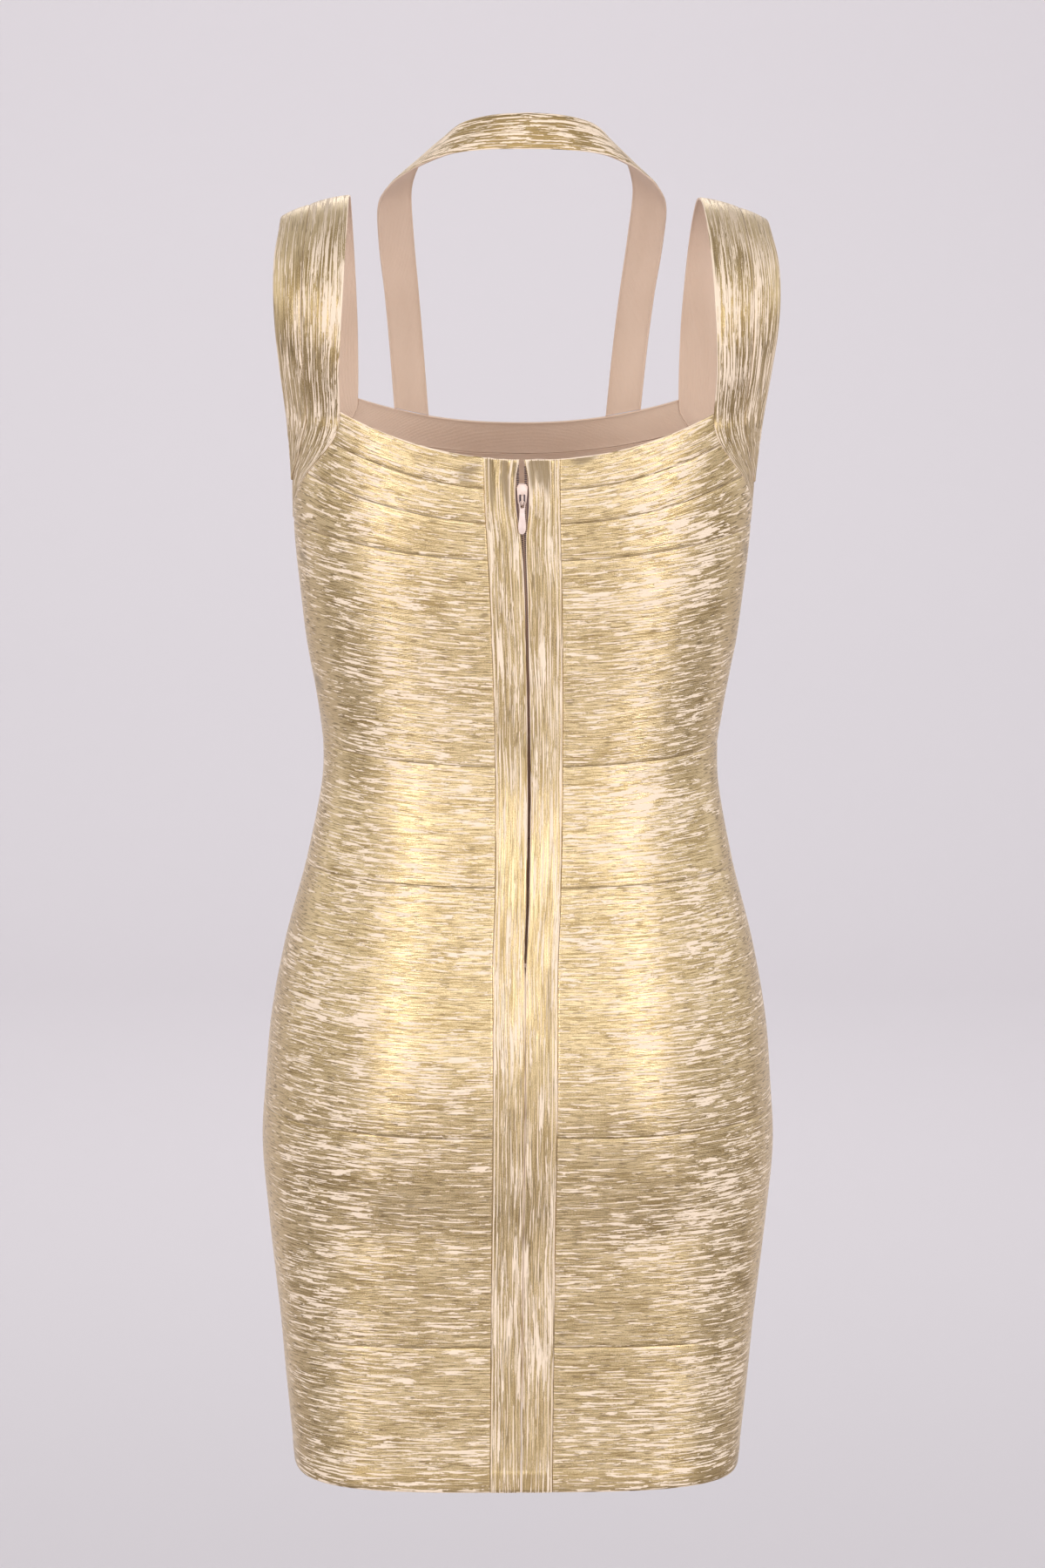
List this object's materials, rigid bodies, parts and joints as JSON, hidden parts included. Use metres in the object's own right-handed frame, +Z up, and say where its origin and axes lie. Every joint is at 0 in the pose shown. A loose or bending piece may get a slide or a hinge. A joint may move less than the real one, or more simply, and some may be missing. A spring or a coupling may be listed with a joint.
{
  "type": "bodycon mini dress",
  "caption": "Sleeveless bandage mini dress in foiled knit, worn shape, with a back zip between lengthwise strips, wide shoulder straps and a halter band.",
  "frame": {"origin": "on the body's centre line, level with the top of the shoulders, where the wearer holds the dress up", "axes": "+Z up, +Y towards the wearer's back, +X towards the wearer's left"},
  "size_m": [0.3438, 0.2424, 0.901],
  "materials": {
    "foil_knit": "gold foil print on a ribbed blush bandage knit, satin, streaked along the bands",
    "foil_strip": "the same foiled knit, cut as strips and streaked lengthwise",
    "zip_tape": "matte plum-brown woven tape",
    "zip_coil": "dull plum nylon coil",
    "zip_metal": "blush enamelled zip metal",
    "pull_tab": "blush enamel, smooth"
  },
  "bodies": {
    "root": {"back_left_neckline_upper": "foil_knit", "back_right_neckline_upper": "foil_knit", "front_neckline_upper": "foil_knit", "back_left_neckline_middle": "foil_knit", "back_right_neckline_middle": "foil_knit", "front_neckline_middle": "foil_knit", "back_left_neckline_lower": "foil_knit", "back_right_neckline_lower": "foil_knit", "front_neckline_lower": "foil_knit", "back_left_bodice": "foil_knit", "back_right_bodice": "foil_knit", "front_bodice": "foil_knit", "back_left_waist": "foil_knit", "back_right_waist": "foil_knit", "front_waist": "foil_knit", "back_left_hip": "foil_knit", "back_right_hip": "foil_knit", "front_hip": "foil_knit", "back_left_thigh": "foil_knit", "back_right_thigh": "foil_knit", "front_thigh": "foil_knit", "back_left_hem": "foil_knit", "back_right_hem": "foil_knit", "front_hem": "foil_knit", "strap_left_inner": "foil_strip", "strap_left_outer": "foil_strip", "strap_right_inner": "foil_strip", "strap_right_outer": "foil_strip", "zip_strip_left": "foil_strip", "zip_strip_right": "foil_strip", "halter_band": "foil_strip", "zip_tape_left": "zip_tape", "zip_tape_right": "zip_tape", "zip_chain_left": "zip_coil", "zip_chain_right": "zip_coil", "zip_top_stop_left": "zip_metal", "zip_top_stop_right": "zip_metal", "zip_bottom_stop": "zip_metal", "zip_slider": "zip_metal"},
    "pull_tab": {"pull_tab": "pull_tab"}
  },
  "joints": [
    {"name": "pull_tab_swing", "type": "hinge", "parent": "root", "child": "pull_tab", "pos_m": [0.00383, 0.08824, -0.19], "axis": [1, 0, 0], "range_deg": [0, 170]}
  ]
}
